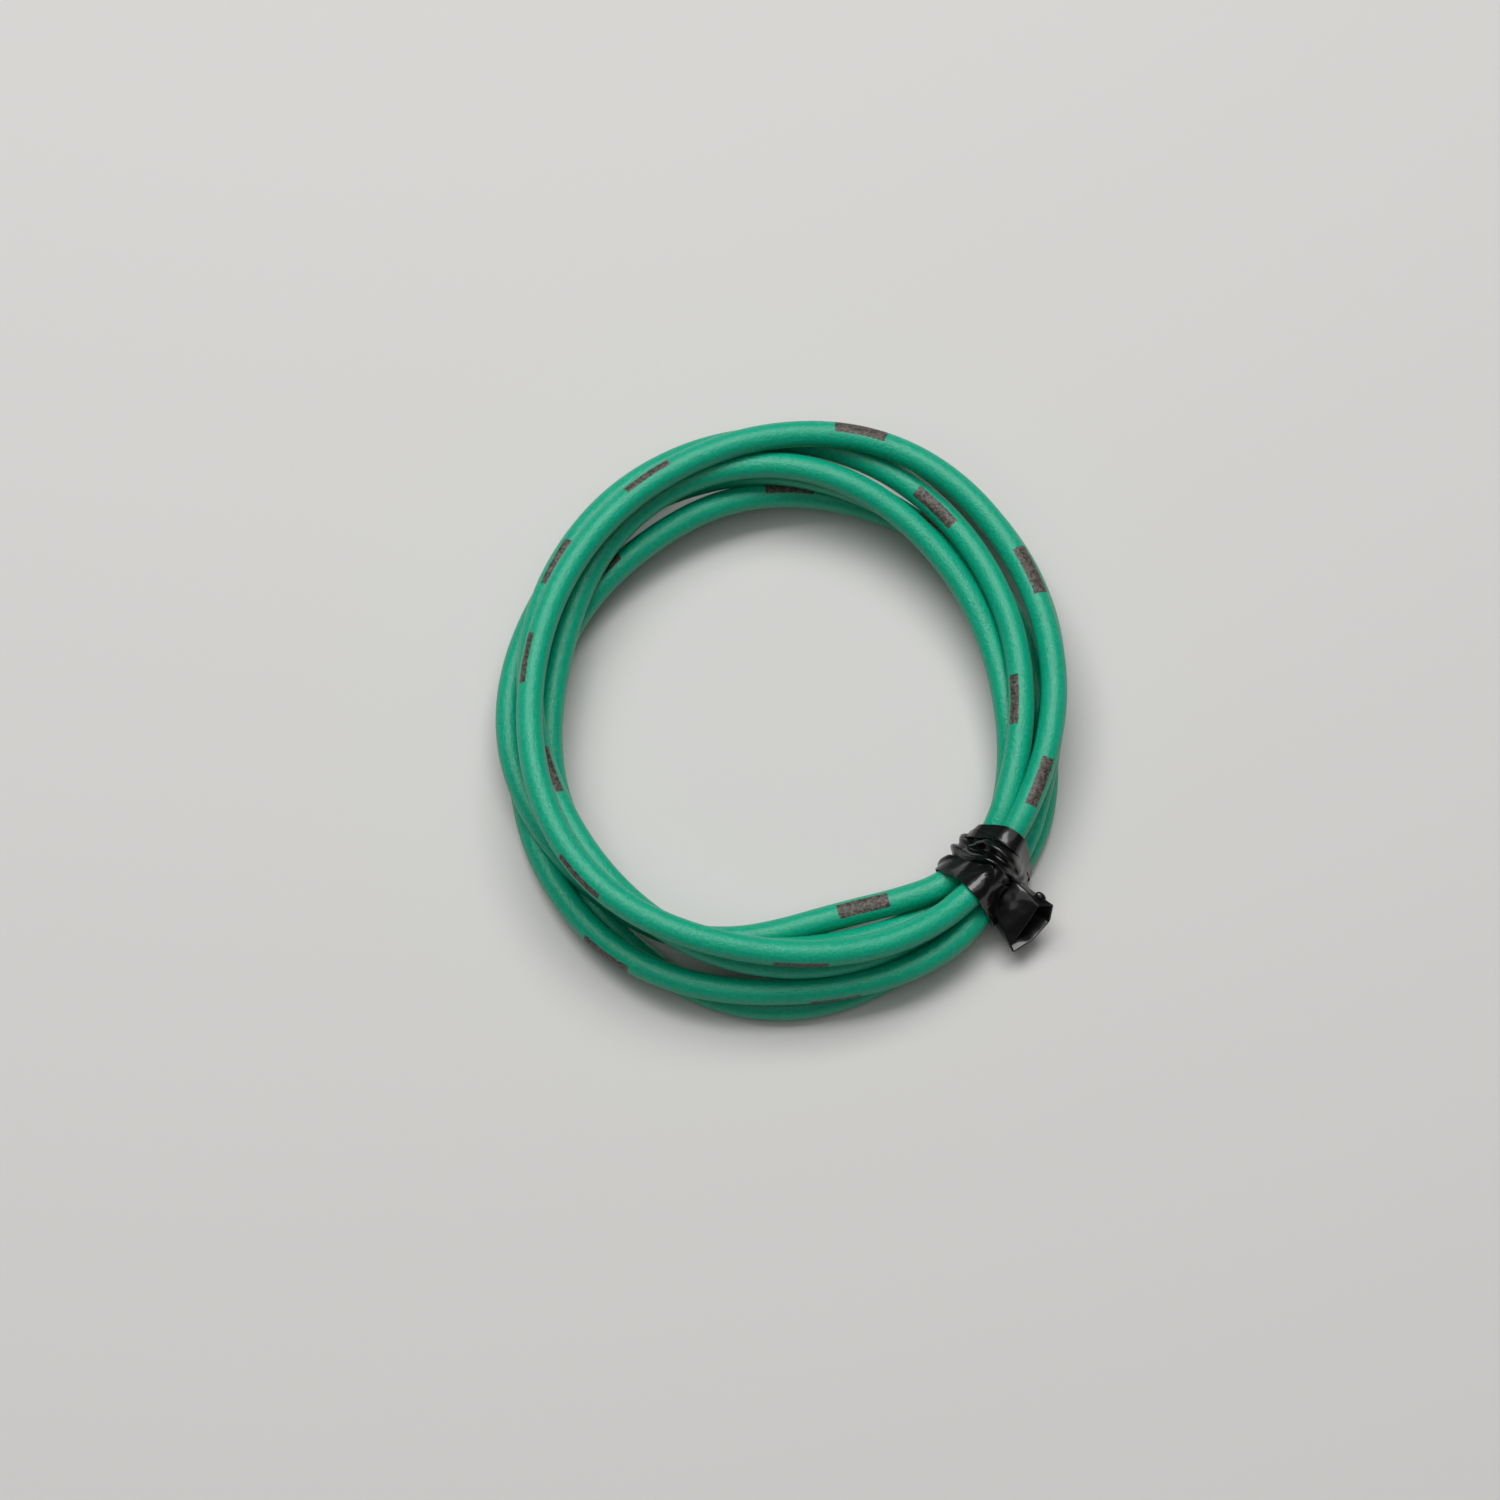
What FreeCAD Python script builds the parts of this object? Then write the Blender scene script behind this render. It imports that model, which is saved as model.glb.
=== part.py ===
import FreeCAD, Part
import math
import os

# A metre of thin single-core hook-up wire, wound into six loose turns and held by a crumpled vinyl strip.
# Origin on the floor under the middle of the coil, +Z up, millimetres, the strip at the lower right.

Vector = FreeCAD.Vector

TURNS = 6
QUARTERS = 4
WIRE_SIDES = 10
STRAND_SIDES = 6
RINGS = 2
STRANDS_PER_RING = 5

# Name, value, and what it sets.
SIZES = [
    ("wire_diameter", 2.7, "outside of the insulation"),
    ("strand_diameter", 0.3, "one copper strand"),
    ("strand_spacing", 0.32, "from one ring of strands to the next"),
    ("bore_clearance", 0.02, "between the outer strands and the insulation"),
    ("turn_gap", 0.45, "least free space between two turns"),
    ("settling_room", 0.1, "extra space that the turns settle to"),
    ("flat_depth", 0.27, "cut off the underside where the coil rests"),
    ("tie_angle", 320.0, "where the strip holds the turns, degrees from +X"),
    ("tie_radius", 27.8, "middle of the tied bundle, from the middle of the coil"),
    ("straight_run", 7.6, "straight wire through the strip"),
    ("strip_width", 7.2, "vinyl strip, along the wires"),
    ("strip_thickness", 0.4, "vinyl strip"),
    ("strip_clearance", 0.12, "between the strip and the wires"),
    ("second_wrap_width", 3.4, "part of the strip that goes round twice"),
    ("second_wrap_skew", 7.0, "degrees that the second wrap runs askew"),
    ("second_wrap_slip", -1.2, "middle of the second wrap, along the wires"),
    ("tail_width", 5.8, "doubled end of the strip, across its open mouth"),
    ("tail_opening", 2.2, "open mouth of the doubled end"),
    ("tail_reach", 2.4, "doubled end, out past the wrap"),
    ("tail_drop", 0.6, "middle of the doubled end, below the middle of the bundle"),
    ("tail_slip", -2.0, "middle of the doubled end, along the wires"),
    ("tail_skew", -6.0, "degrees that the doubled end points back along the wires"),
    ("ridge_width", 2.2, "strip rolled up on itself over the top"),
    ("ridge_thickness", 1.3, "thickness of the rolled strip"),
    ("ridge_twist", 35.0, "degrees that the rolled strip turns at each section"),
]

# Each turn of the wire, from its free end on: mean radius, shift to the right, shift away, oval along the
# axes, oval along the diagonals, and two amounts of a three-lobed wave. Loose turns differ in all of them.
TURN_SHAPE = ("radius", "shift_x", "shift_y", "oval", "skew", "lobe_x", "lobe_y")
TURN_SIZES = [
    (27.0, 1.0, -2.5, -1.1, 0.3, 0.0, 0.2),
    (27.6, -0.3, -1.6, -1.3, 0.3, 0.2, -0.1),
    (25.5, -1.6, 0.1, 1.2, 0.4, 0.6, -0.8),
    (24.9, -0.8, -1.3, -1.3, -0.1, 0.4, -0.5),
    (26.4, -0.6, -1.4, -1.5, -0.3, 0.0, 0.2),
    (27.0, 1.1, -2.0, -0.8, 0.7, 0.1, 0.0),
]

# The seven passes through the strip, from one free end to the other: a two, three, two bundle, with each
# place in steps of one wire outwards and in rows up.
PASSES = [(-0.5, 0), (0.5, 0), (1.0, 1), (-0.5, 2), (-1.0, 1), (0.0, 1), (0.5, 2)]

doc = FreeCAD.newDocument("wire_coil")
sheet = doc.addObject("Spreadsheet::Sheet", "sizes")


def add_size(row, name, value, note):
    """Writes one driving dimension, with its name and what it sets."""
    sheet.set("A%d" % row, name)
    sheet.set("B%d" % row, str(value))
    sheet.set("C%d" % row, note)
    sheet.setAlias("B%d" % row, name)


def fill_sheet():
    """Fills the sheet with the sizes of the wire and the strip, and then with those of each turn."""
    rows = list(SIZES)
    for turn, values in enumerate(TURN_SIZES):
        for name, value in zip(TURN_SHAPE, values):
            rows.append(("turn_%d_%s" % (turn + 1, name), value, "%s of turn %d" % (name, turn + 1)))
    for row, (name, value, note) in enumerate(rows):
        add_size(row + 1, name, value, note)
    doc.recompute()


def size(name):
    """One driving dimension, as a plain number."""
    return float(getattr(sheet, name))


fill_sheet()

TIE_ANGLE = math.radians(size("tie_angle"))
OUTWARDS = Vector(math.cos(TIE_ANGLE), math.sin(TIE_ANGLE), 0)
ALONG = Vector(-math.sin(TIE_ANGLE), math.cos(TIE_ANGLE), 0)
UP = Vector(0, 0, 1)
HALF_RUN = size("straight_run") / 2
SPACING = size("wire_diameter") + size("turn_gap") + size("settling_room")
ROW_STEP = SPACING * math.sqrt(3) / 2
RESTING = size("wire_diameter") / 2 - size("flat_depth")
STRIP_OFFSET = size("wire_diameter") / 2 + size("strip_clearance")
LOWEST_PASS = STRIP_OFFSET + size("strip_thickness")


# Wire route

# The whole wire has a stop at each pass and at each quarter turn between two passes.
STOPS = TURNS * QUARTERS + 1
SETTLING_STEPS = 160
CLOSING_STEPS = 240
ARC_SAMPLES = 4


def stop_angle(number):
    """Angle of a stop, counted on from the first pass through the strip."""
    return TIE_ANGLE + number * 2 * math.pi / QUARTERS


def turn_radius(turn, angle):
    """Plan radius of a turn: a circle with a shift, an oval and a three-lobed wave."""
    names = ["turn_%d_%s" % (turn + 1, name) for name in TURN_SHAPE]
    mean, x, y, oval, skew, lobe_x, lobe_y = [size(name) for name in names]
    radius = mean + x * math.cos(angle) + y * math.sin(angle)
    radius += oval * math.cos(2 * angle) + skew * math.sin(2 * angle)
    return radius + lobe_x * math.cos(3 * angle) + lobe_y * math.sin(3 * angle)


def biarc(start, start_way, end, end_way):
    """Two tangent arcs between two points with given directions, each as its start, corner and end."""
    chord = end - start
    bend = 2 * (1 - start_way.dot(end_way))
    reach = chord.dot(start_way + end_way)
    step = (math.sqrt(reach * reach + bend * chord.dot(chord)) - reach) / bend
    joint = (start + end + (start_way - end_way) * step) * 0.5
    return [(start, start + start_way * step, joint), (joint, end - end_way * step, end)]


def arc_point(arc, share):
    """Point on an arc, as far along it as the share says."""
    start, corner, end = arc
    weight = (end - start).Length / 2 / (corner - start).Length
    first = (1 - share) ** 2
    middle = 2 * weight * share * (1 - share)
    last = share ** 2
    return (start * first + corner * middle + end * last) * (1 / (first + middle + last))


def route_stops(radii, heights):
    """Place and direction of each stop. The wire runs level and straight through the strip."""
    stops = []
    for number in range(STOPS):
        angle = stop_angle(number)
        outwards = Vector(math.cos(angle), math.sin(angle), 0)
        along = Vector(-math.sin(angle), math.cos(angle), 0)
        way = along * radii[number]
        if number % QUARTERS:
            way += outwards * ((radii[number + 1] - radii[number - 1]) / math.pi)
            way += UP * ((heights[number + 1] - heights[number - 1]) / math.pi)
        stops.append((outwards * radii[number] + UP * heights[number], way.normalize()))
    return stops


def route_arcs(stops):
    """The two arcs of each quarter turn, which stop short of the straight runs through the strip."""
    spans = []
    for number in range(STOPS - 1):
        start, start_way = stops[number]
        end, end_way = stops[number + 1]
        if number % QUARTERS == 0:
            start = start + start_way * HALF_RUN
        if (number + 1) % QUARTERS == 0:
            end = end - end_way * HALF_RUN
        spans.append(biarc(start, start_way, end, end_way))
    return spans


def route_points(stops, count):
    """Points along the route, each with its place in stops: some on every arc, and each pass."""
    points = []
    for number, arcs in enumerate(route_arcs(stops)):
        if number % QUARTERS == 0:
            points.append((float(number), stops[number][0]))
        for half, arc in enumerate(arcs):
            for sample in range(count):
                share = float(sample) / count
                points.append((number + (half + share) / 2, arc_point(arc, share)))
    points.append((STOPS - 1.0, stops[-1][0]))
    return points


def close_pairs(points, distance):
    """Pairs of points nearer than a distance, over a quarter turn apart along the wire."""
    apart = 1.2
    bare = [(place, point.x, point.y, point.z) for place, point in points]
    pairs = []
    for first in range(len(bare)):
        place, x, y, z = bare[first]
        for second in range(first + 1, len(bare)):
            other = bare[second]
            if abs(other[3] - z) < distance and abs(other[1] - x) < distance:
                if abs(other[2] - y) < distance and other[0] - place > apart:
                    between = math.sqrt((other[1] - x) ** 2 + (other[2] - y) ** 2 + (other[3] - z) ** 2)
                    if between < distance:
                        pairs.append((first, second, between))
    return pairs


def pushes(points, pairs):
    """How far each stop is pushed out, in, up and down by the pairs of points that are too near."""
    firmness = 0.6
    moves = [[0.0, 0.0, 0.0, 0.0] for _ in range(STOPS)]
    for first, second, between in pairs:
        for here, there in ((first, second), (second, first)):
            place, point = points[here]
            away = point - points[there][1]
            amount = firmness * (SPACING - between) / max(between, 0.001)
            plan = math.hypot(point.x, point.y)
            radial = amount * (away.x * point.x + away.y * point.y) / plan
            upward = amount * away.z
            number = int(place)
            share = place - number
            for stop, weight in ((number, 1 - share), (min(number + 1, STOPS - 1), share)):
                move = moves[stop]
                move[0] = max(move[0], radial * weight)
                move[1] = min(move[1], radial * weight)
                move[2] = max(move[2], upward * weight)
                move[3] = min(move[3], upward * weight)
    return moves


def settle():
    """Drops the turns on each other: they sink, keep near their plan shape, and push each other away."""
    sinking = 0.06
    keeping = 0.06
    drop_height = 1.9
    wished = []
    heights = []
    for number in range(STOPS):
        if number % QUARTERS == 0:
            outwards, rows = PASSES[number // QUARTERS]
            wished.append(size("tie_radius") + outwards * SPACING)
            heights.append(LOWEST_PASS + rows * ROW_STEP)
        else:
            wished.append(turn_radius(number // QUARTERS, stop_angle(number)))
            heights.append(RESTING + drop_height * number / QUARTERS)
    radii = list(wished)
    for step in range(SETTLING_STEPS + CLOSING_STEPS):
        points = route_points(route_stops(radii, heights), ARC_SAMPLES)
        pairs = close_pairs(points, SPACING)
        left = max(0.0, 1 - float(step) / SETTLING_STEPS)
        if left == 0 and not any(SPACING - pair[2] > size("settling_room") / 20 for pair in pairs):
            break
        moves = pushes(points, pairs)
        for number in range(STOPS):
            if number % QUARTERS:
                outward, inward, upward, downward = moves[number]
                radii[number] += outward + inward
                heights[number] += upward + downward - sinking * left
                if left:
                    radii[number] += keeping * (wished[number] - radii[number])
                heights[number] = max(heights[number], RESTING)
    return route_stops(radii, heights)


def least_gap(stops):
    """Least free space between two stretches of the wire."""
    points = route_points(stops, 2 * ARC_SAMPLES)
    pairs = close_pairs(points, 2 * SPACING)
    return min(pair[2] for pair in pairs) - size("wire_diameter")


def route_wire(stops):
    """The route as one wire of arcs, with a straight run through the strip at each pass."""
    edges = []
    for number, arcs in enumerate(route_arcs(stops)):
        if number % QUARTERS == 0:
            middle, way = stops[number]
            begin = middle if number == 0 else middle - way * HALF_RUN
            edges.append(Part.LineSegment(begin, arcs[0][0]).toShape())
        for arc in arcs:
            edges.append(Part.Arc(arc[0], arc_point(arc, 0.5), arc[2]).toShape())
    last = stops[-1][0]
    edges.append(Part.LineSegment(arcs[1][2], last).toShape())
    return Part.Wire(edges)


def centred(stops):
    """The stops moved so that the origin is under the middle of the whole coil's outline."""
    middle = route_wire(stops).optimalBoundingBox(False).Center
    shift = Vector(-middle.x, -middle.y, 0)
    return [(place + shift, way) for place, way in stops], shift


stops, shift = centred(settle())
route = doc.addObject("Part::Feature", "route")
route.Shape = route_wire(stops)


# Insulation

# Below the floor, wide enough for any coil. What it cuts off leaves the flats that the part rests on.
underside = doc.addObject("Part::Box", "underside")
underside.setExpression("Length", "4 * (sizes.tie_radius + sizes.tail_reach)")
underside.setExpression("Width", "4 * (sizes.tie_radius + sizes.tail_reach)")
underside.setExpression("Height", "sizes.wire_diameter + sizes.strip_thickness")
doc.recompute()
half_side = underside.Length.Value / 2
underside.Placement.Base = Vector(-half_side, -half_side, -underside.Height.Value)

wire_section = doc.addObject("Part::RegularPolygon", "wire_section")
wire_section.Polygon = WIRE_SIDES
wire_section.setExpression("Circumradius", "sizes.wire_diameter / 2")
wire_section.Placement = FreeCAD.Placement(stops[0][0], FreeCAD.Rotation(UP, stops[0][1]))

drawn_wire = doc.addObject("Part::Sweep", "drawn_wire")
drawn_wire.Sections = [wire_section]
drawn_wire.Spine = route
drawn_wire.Solid = True
drawn_wire.Frenet = False


def end_frame(number):
    """Placement at one cut end of the wire, with Z along the wire into it."""
    place, way = stops[0] if number == 0 else stops[-1]
    return FreeCAD.Placement(place, FreeCAD.Rotation(UP, way if number == 0 else way * -1))


bore_radius = "%d * sizes.strand_spacing + sizes.strand_diameter / 2 + sizes.bore_clearance" % RINGS
bores = []
for number in (0, 1):
    bore = doc.addObject("Part::Cylinder", "bore_%d" % (number + 1))
    bore.setExpression("Radius", bore_radius)
    bore.setExpression("Height", "sizes.straight_run / 2")
    bore.Placement = end_frame(number)
    bores.append(bore)

taken_away = doc.addObject("Part::MultiFuse", "taken_away")
taken_away.Shapes = bores + [underside]
insulation = doc.addObject("Part::Cut", "insulation")
insulation.Label = "wire_insulation"
insulation.Base = drawn_wire
insulation.Tool = taken_away


# Copper strands in the bore at each cut end: one in the middle, and each ring five more than the one inside it

strands = []
for number in (0, 1):
    frame = end_frame(number)
    for ring in range(RINGS + 1):
        count = max(1, ring * STRANDS_PER_RING)
        for place in range(count):
            angle = 2 * math.pi * place / count
            distance = ring * size("strand_spacing")
            strand = doc.addObject("Part::Prism", "strand")
            strand.Polygon = STRAND_SIDES
            strand.setExpression("Circumradius", "sizes.strand_diameter / 2")
            strand.setExpression("Height", "sizes.straight_run / 2")
            offset = Vector(distance * math.cos(angle), distance * math.sin(angle), 0)
            strand.Placement = frame.multiply(FreeCAD.Placement(offset, FreeCAD.Rotation()))
            strands.append(strand)
conductor = doc.addObject("Part::Compound", "conductor")
conductor.Label = "copper_strands"
conductor.Links = strands


# Vinyl strip: a tight wrap, a second wrap askew over part of it, a rolled ridge over the top, and the
# doubled end that stands open

BUNDLE_MIDDLE = OUTWARDS * size("tie_radius") + UP * (LOWEST_PASS + ROW_STEP) + shift
TIE_PLACE = FreeCAD.Placement(BUNDLE_MIDDLE, FreeCAD.Rotation(UP, size("tie_angle")))

bundle = doc.addObject("Part::Feature", "bundle")
corners = [(1.0, 0), (0.5, 1), (-0.5, 1), (-1.0, 0), (-0.5, -1), (0.5, -1), (1.0, 0)]
bundle.Shape = Part.makePolygon([Vector(x * SPACING, 0, z * ROW_STEP) for x, z in corners])
bundle.Placement = TIE_PLACE


def wrap(name, layers, width):
    """A wrap of the strip round the bundle, out from the wires by so many layers."""
    shells = []
    for side, extra in (("inside", layers), ("outside", layers + 1)):
        outline = doc.addObject("Part::Offset2D", "%s_%s_outline" % (name, side))
        outline.Source = bundle
        offset = "sizes.wire_diameter / 2 + sizes.strip_clearance + %d * sizes.strip_thickness"
        outline.setExpression("Value", offset % extra)
        block = doc.addObject("Part::Extrusion", "%s_%s" % (name, side))
        block.Base = outline
        block.DirMode = "Custom"
        block.Dir = ALONG
        block.Symmetric = True
        block.Solid = True
        block.setExpression("LengthFwd", width)
        shells.append(block)
    sleeve = doc.addObject("Part::Cut", name)
    sleeve.Base = shells[1]
    sleeve.Tool = shells[0]
    return sleeve


tight_wrap = wrap("tight_wrap", 0, "sizes.strip_width")
second_wrap = wrap("second_wrap", 1, "sizes.second_wrap_width")
doc.recompute()
askew = FreeCAD.Rotation(UP, size("second_wrap_skew"))
slip = ALONG * size("second_wrap_slip")
second_wrap.Placement = FreeCAD.Placement(slip, FreeCAD.Rotation(), Vector()).multiply(
    FreeCAD.Placement(Vector(), askew, BUNDLE_MIDDLE))


def creased(name, sections):
    """Solid of flat facets through a row of closed outlines, as crumpled vinyl creases."""
    faces = [Part.Face(Part.makePolygon(sections[0] + sections[0][:1]))]
    for first, second in zip(sections, sections[1:]):
        count = len(first)
        for corner in range(count):
            following = (corner + 1) % count
            for triangle in ((first[corner], first[following], second[following]),
                             (first[corner], second[following], second[corner])):
                faces.append(Part.Face(Part.makePolygon(list(triangle) + [triangle[0]])))
    faces.append(Part.Face(Part.makePolygon(sections[-1] + sections[-1][:1])))
    solid = Part.Solid(Part.Shell(faces))
    if solid.Volume < 0:
        solid.reverse()
    piece = doc.addObject("Part::Feature", name)
    piece.Shape = solid
    piece.Placement = TIE_PLACE
    return piece


def lens(width, height):
    """Flattened outline, pointed at both ends, as places sideways and up."""
    return [(-width / 2, 0), (-width / 4, height * 0.42), (width / 8, height / 2), (width / 2, 0),
            (width / 4, -height * 0.42), (-width / 8, -height / 2)]


def doubled_end():
    """Flat pocket of the strip, its two layers joined at the sides and open at the far end."""
    wall = size("strip_thickness")
    wrap_outside = SPACING + STRIP_OFFSET + wall
    skew = math.radians(size("tail_skew"))
    way = Vector(math.cos(skew), math.sin(skew), 0)
    across = Vector(-math.sin(skew), math.cos(skew), 0)
    root = Vector(wrap_outside - wall - size("ridge_thickness"), size("tail_slip") / 2, -size("tail_drop") / 2)
    mouth = Vector(wrap_outside, size("tail_slip"), -size("tail_drop")) + way * size("tail_reach")
    blocks = []
    for name, inset, past in (("outside", 0, 0), ("pocket", wall, wall)):
        sections = []
        for share in (0, 0.5, 1):
            middle = root + (mouth - root) * share + way * (past * (2 * share - 1) + inset * (1 - share))
            width = size("tail_width") * (0.7 + 0.3 * share) - 3 * inset
            height = size("tail_opening") * (0.45 + 0.55 * share) + 2 * wall - 2 * inset
            sections.append([middle + across * side + UP * up for side, up in lens(width, height)])
        blocks.append(creased("doubled_end_%s" % name, sections))
    end = doc.addObject("Part::Cut", "doubled_end")
    end.Base = blocks[0]
    end.Tool = blocks[1]
    return end


def rolled_ridge():
    """Strip rolled on itself: a flat outline that turns step by step as it goes over the top."""
    reach = SPACING + STRIP_OFFSET + size("strip_thickness")
    first_angle, last_angle, steps = 40.0, 150.0, 6
    drift = 0.35
    sections = []
    for number in range(steps):
        around = math.radians(first_angle + (last_angle - first_angle) * number / (steps - 1))
        outward = Vector(math.cos(around), 0, math.sin(around))
        roll = math.radians(number * size("ridge_twist"))
        share = 0.5 if number in (0, steps - 1) else 1.0
        half = share * size("ridge_width") / 2
        thick = share * size("ridge_thickness") / 2
        middle = outward * reach + Vector(0, drift * (steps / 2.0 - number), 0)
        section = []
        for flat, up in ((half, 0), (half / 2, thick), (-half / 2, thick), (-half, 0), (-half / 2, -thick),
                         (half / 2, -thick)):
            sideways = flat * math.cos(roll) - up * math.sin(roll)
            upwards = flat * math.sin(roll) + up * math.cos(roll)
            section.append(middle + Vector(0, sideways, 0) + outward * upwards)
        sections.append(section)
    return creased("rolled_ridge", sections)


strip_pieces = doc.addObject("Part::MultiFuse", "strip_pieces")
strip_pieces.Shapes = [tight_wrap, second_wrap, doubled_end(), rolled_ridge()]
strip = doc.addObject("Part::Cut", "strip")
strip.Label = "tie_strip"
strip.Base = strip_pieces
strip.Tool = underside
doc.recompute()


# Checks and files

NODES = (insulation, conductor, strip)
for thing in doc.Objects:
    if "Invalid" in thing.State or "Error" in thing.State:
        raise RuntimeError("%s did not compute" % thing.Name)
for node in NODES:
    if node.Shape.isNull() or not node.Shape.isValid():
        raise RuntimeError("%s has no valid shape" % node.Label)

expected = WIRE_SIDES / 2.0 * math.sin(2 * math.pi / WIRE_SIDES) * (size("wire_diameter") / 2) ** 2
expected *= route.Shape.Length
tightest = min(edge.Curve.Radius for edge in route.Shape.Edges if edge.Curve.TypeId == "Part::GeomCircle")
print("wire length %.0f mm, tightest bend %.1f mm" % (route.Shape.Length, tightest))
print("drawn volume over section times length %.4f" % (drawn_wire.Shape.Volume / expected))
print("least gap of the wire to itself %.2f mm" % least_gap(stops))

os.makedirs("parts", exist_ok=True)
for node in NODES:
    node.Shape.exportStep("parts/%s.step" % node.Label)
    box = node.Shape.optimalBoundingBox(False)
    print("%s: %d solids, %.1f mm3" % (node.Label, len(node.Shape.Solids), node.Shape.Volume), box)
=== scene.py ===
import bpy
import math
import numpy as np
from mathutils import Euler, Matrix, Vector, noise


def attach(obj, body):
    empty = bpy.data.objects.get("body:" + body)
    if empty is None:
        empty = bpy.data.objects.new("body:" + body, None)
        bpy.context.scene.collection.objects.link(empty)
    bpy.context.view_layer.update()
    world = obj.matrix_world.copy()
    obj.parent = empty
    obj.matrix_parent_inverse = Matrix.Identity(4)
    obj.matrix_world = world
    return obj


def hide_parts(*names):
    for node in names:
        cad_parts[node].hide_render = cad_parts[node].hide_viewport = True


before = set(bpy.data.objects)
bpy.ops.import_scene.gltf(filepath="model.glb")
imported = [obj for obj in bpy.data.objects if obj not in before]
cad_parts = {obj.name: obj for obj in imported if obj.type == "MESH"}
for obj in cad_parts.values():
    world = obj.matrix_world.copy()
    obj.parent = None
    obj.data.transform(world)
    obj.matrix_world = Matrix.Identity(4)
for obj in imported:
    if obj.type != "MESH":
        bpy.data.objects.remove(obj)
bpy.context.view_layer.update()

# Insulated wire: one metre of green PVC-covered wire, 2.7 mm thick, wound by hand into six loose turns.
# The turns rest on each other, and run side by side only inside the strip. Black dashes are printed on it.

MM = 0.001
DIAMETER = 2.7
BORE = 1.62
TURNS = 6
STOPS = 36

# The bundle in the strip: its place round the coil, its distance from the middle of the turns, the distance
# between two wires in it and the height of the lowest one, in mm. CENTRING is the middle of the turns.
TIE_ANGLE = math.radians(320)
TIE_RADIUS = 27.8
BUNDLE_PITCH = 2.75
LOWEST_PASS = 1.55
CENTRING = np.array([-0.64, 2.56, 0])

# Plan radius of each turn in mm, from the free end under the strip on: mean, then the cosine and sine
# parts of the shift, the oval, and the waves of three to six lobes.
TURN_SHAPES = [
    (26.7, 1.2, -3.1, -0.8, 0.4, -0.1, 0.2, 0.1, -0.1, -0.2, -0.1, -0.2, 0.0),
    (29.4, 0.5, 0.3, -1.8, 0.7, -0.2, 0.0, -0.3, -0.1, 0.0, 0.3, 0.1, 0.1),
    (25.7, -1.7, 0.3, 0.8, -0.1, 0.1, -0.6, -0.4, -0.3, -0.4, 0.0, 0.0, 0.2),
    (24.8, -0.6, -0.9, -1.2, -0.4, 0.4, -0.6, -0.3, 0.0, -0.1, 0.0, 0.0, 0.1),
    (26.7, -0.6, 0.3, -1.8, -0.4, -0.1, 0.1, 0.1, 0.0, 0.0, 0.1, 0.0, 0.0),
    (27.4, 1.1, -0.2, -0.8, 0.8, -0.2, -0.2, -0.2, 0.0, 0.2, 0.1, 0.1, 0.0),
]

# Where each turn leaves the strip and where it comes back to it, one stop past the middle of the strip:
# steps of one wire outwards from the middle of the bundle, and rows up from its lowest row.
LEAVING = [(0.47, 0), (0.22, 1), (-0.55, 0), (-0.88, 0.95), (-0.88, 2.05), (-0.18, 2.6)]
RETURNING = [(0.42, 0), (0.8, 1), (-1.04, 0.95), (-0.6, 0), (-0.12, 1), (0.1, 2.05)]


def turn_radius(shape, angle):
    """Plan radius of a turn: mean + the sum over k of cosine part * cos(k a) + sine part * sin(k a)."""
    radius = np.full(len(angle), float(shape[0]))
    for lobes in range(1, 7):
        radius += shape[2 * lobes - 1] * np.cos(lobes * angle) + shape[2 * lobes] * np.sin(lobes * angle)
    return radius


def held_stops():
    """Plan radius and height of the stops that the strip holds, and nan at all others. Between two mouths
    the wire runs straight, so a stop in the middle of the strip is halfway between the stops on both
    sides."""
    held = np.full((TURNS * STOPS + 1, 2), np.nan)
    row = BUNDLE_PITCH * math.sqrt(3) / 2
    for turn in range(TURNS):
        for stop, (outward, rows) in ((1, LEAVING[turn]), (STOPS - 1, RETURNING[turn])):
            held[turn * STOPS + stop] = TIE_RADIUS + outward * BUNDLE_PITCH, LOWEST_PASS + rows * row
    for middle in range(STOPS, TURNS * STOPS, STOPS):
        held[middle] = (held[middle - 1] + held[middle + 1]) / 2
    held[0], held[-1] = held[1], held[-2]
    return held.T


def wished_route():
    """Angle and wished plan radius of every stop. Within a few stops of a mouth the radius eases over to
    it, by the share e^2 (3 - 2 e), where e falls evenly from 1 at the mouth."""
    easing_stops = 4
    stop = np.arange(TURNS * STOPS + 1)
    angle = TIE_ANGLE + 2 * np.pi * stop / STOPS
    turn = np.minimum(stop // STOPS, TURNS - 1)
    wished = np.zeros(len(stop))
    for number, shape in enumerate(TURN_SHAPES):
        wished[turn == number] = turn_radius(shape, angle[turn == number])
    held = held_stops()[0]
    for number in range(TURNS):
        for mouth, step in ((number * STOPS + 1, 1), ((number + 1) * STOPS - 1, -1)):
            off = held[mouth] - wished[mouth]
            for away in range(easing_stops):
                ease = 1 - away / easing_stops
                wished[mouth + step * away] += off * ease * ease * (3 - 2 * ease)
    return angle, np.where(np.isnan(held), wished, held)


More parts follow.
